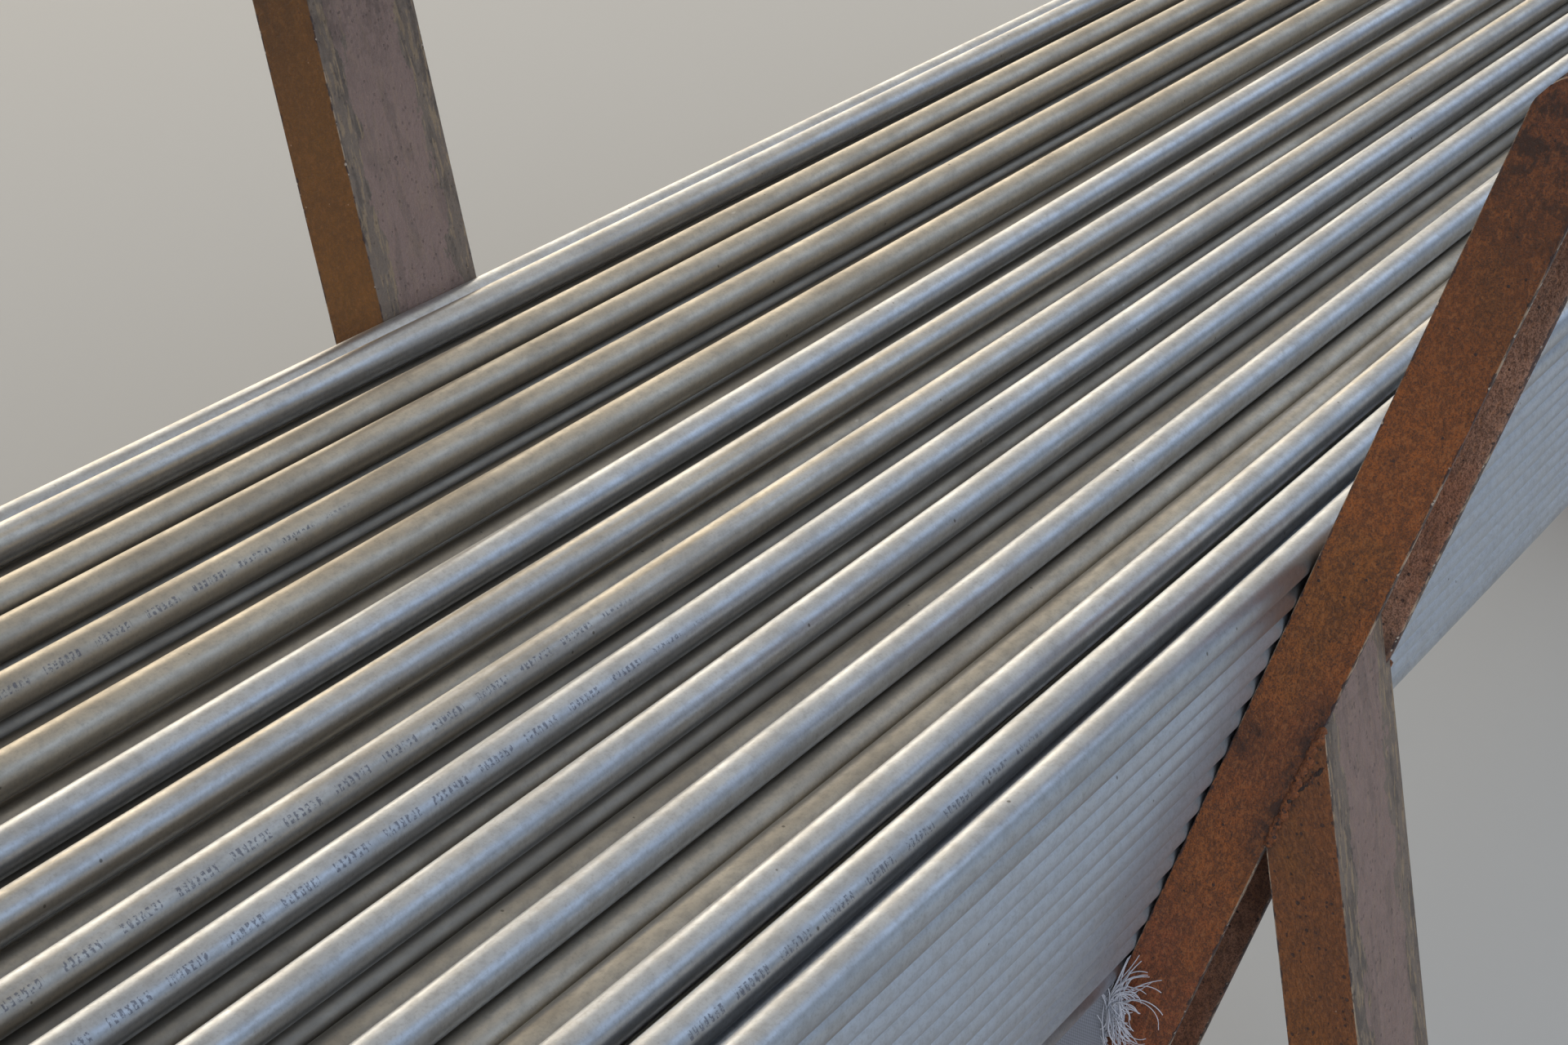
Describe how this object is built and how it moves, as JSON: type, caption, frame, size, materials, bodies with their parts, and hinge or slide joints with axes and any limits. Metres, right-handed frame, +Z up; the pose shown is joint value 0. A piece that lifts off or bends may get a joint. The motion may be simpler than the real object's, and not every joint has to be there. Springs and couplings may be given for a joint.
{
  "type": "bundle of nickel alloy tubes in a rack",
  "caption": "Bundle of loose round metal tubes lying in a rack of welded channel frames with leaning arms, padded where it rests.",
  "frame": {"origin": "on the floor under the middle of the bundle, at the middle rack frame", "axes": "+X along the tubes, +Y to the left side of the bundle, +Z up"},
  "size_m": [6, 1.1496, 1.1409],
  "materials": {
    "tube_metal": "matt pickled grey",
    "rack_paint": "worn red-brown paint with rust",
    "strip_weave": "grey woven webbing with frayed ends"
  },
  "bodies": {
    "root": {"bottom_row_tubes": "tube_metal", "right_column_tubes": "tube_metal", "left_column_tubes": "tube_metal", "upper_row_tubes": "tube_metal", "loose_top_tubes": "tube_metal", "inner_tubes": "tube_metal", "near_right_arm": "rack_paint", "near_left_arm": "rack_paint", "near_right_strut": "rack_paint", "near_left_strut": "rack_paint", "near_cross_beam": "rack_paint", "near_floor_sill": "rack_paint", "near_padding_strip": "strip_weave", "middle_right_arm": "rack_paint", "middle_left_arm": "rack_paint", "middle_right_strut": "rack_paint", "middle_left_strut": "rack_paint", "middle_cross_beam": "rack_paint", "middle_floor_sill": "rack_paint", "middle_padding_strip": "strip_weave", "far_right_arm": "rack_paint", "far_left_arm": "rack_paint", "far_right_strut": "rack_paint", "far_left_strut": "rack_paint", "far_cross_beam": "rack_paint", "far_floor_sill": "rack_paint", "far_padding_strip": "strip_weave"}
  },
  "joints": []
}
